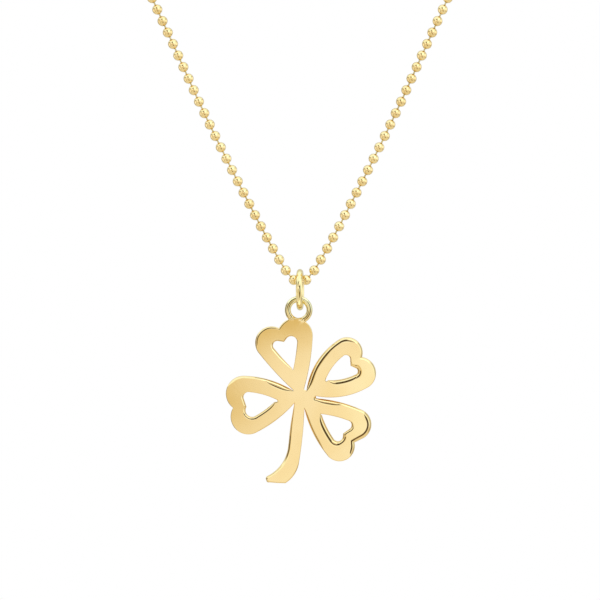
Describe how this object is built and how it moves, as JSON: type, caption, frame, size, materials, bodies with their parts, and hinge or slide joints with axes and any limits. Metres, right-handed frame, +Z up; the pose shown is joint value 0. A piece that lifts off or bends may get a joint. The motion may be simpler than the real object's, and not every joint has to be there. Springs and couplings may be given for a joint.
{
  "type": "four leaf clover pendant necklace",
  "caption": "Pierced four leaf clover pendant with a curved stem, hung by a jump ring from a fine bead chain that closes with a small clasp.",
  "frame": {"origin": "the middle of the necklace behind the neck, at the clasp, where the chain rests on the nape", "axes": "+Z up, +X to the right as the clover's face is seen, +Y from the clover back towards the nape"},
  "size_m": [0.0998, 0.1, 0.1197],
  "materials": {
    "clover_gold": "polished yellow gold",
    "ring_gold": "polished yellow gold",
    "bead_gold": "polished yellow gold",
    "wire_gold": "drawn yellow gold wire",
    "clasp_gold": "polished yellow gold"
  },
  "bodies": {
    "necklace": {"bead_chain": "bead_gold", "chain_wire": "wire_gold", "end_ring_left": "clasp_gold", "end_ring_right": "clasp_gold", "clasp": "clasp_gold"},
    "ring": {"jump_ring": "ring_gold"},
    "pendant": {"clover": "clover_gold"}
  },
  "joints": [
    {"name": "ring_swing", "type": "hinge", "parent": "necklace", "child": "ring", "pos_m": [0, -0.096, -0.091], "axis": [1, 0, 0], "range_deg": [-90, 90]},
    {"name": "clover_swing", "type": "hinge", "parent": "ring", "child": "pendant", "pos_m": [0, -0.096, -0.09451], "axis": [0, 1, 0], "range_deg": [-60, 60]}
  ]
}
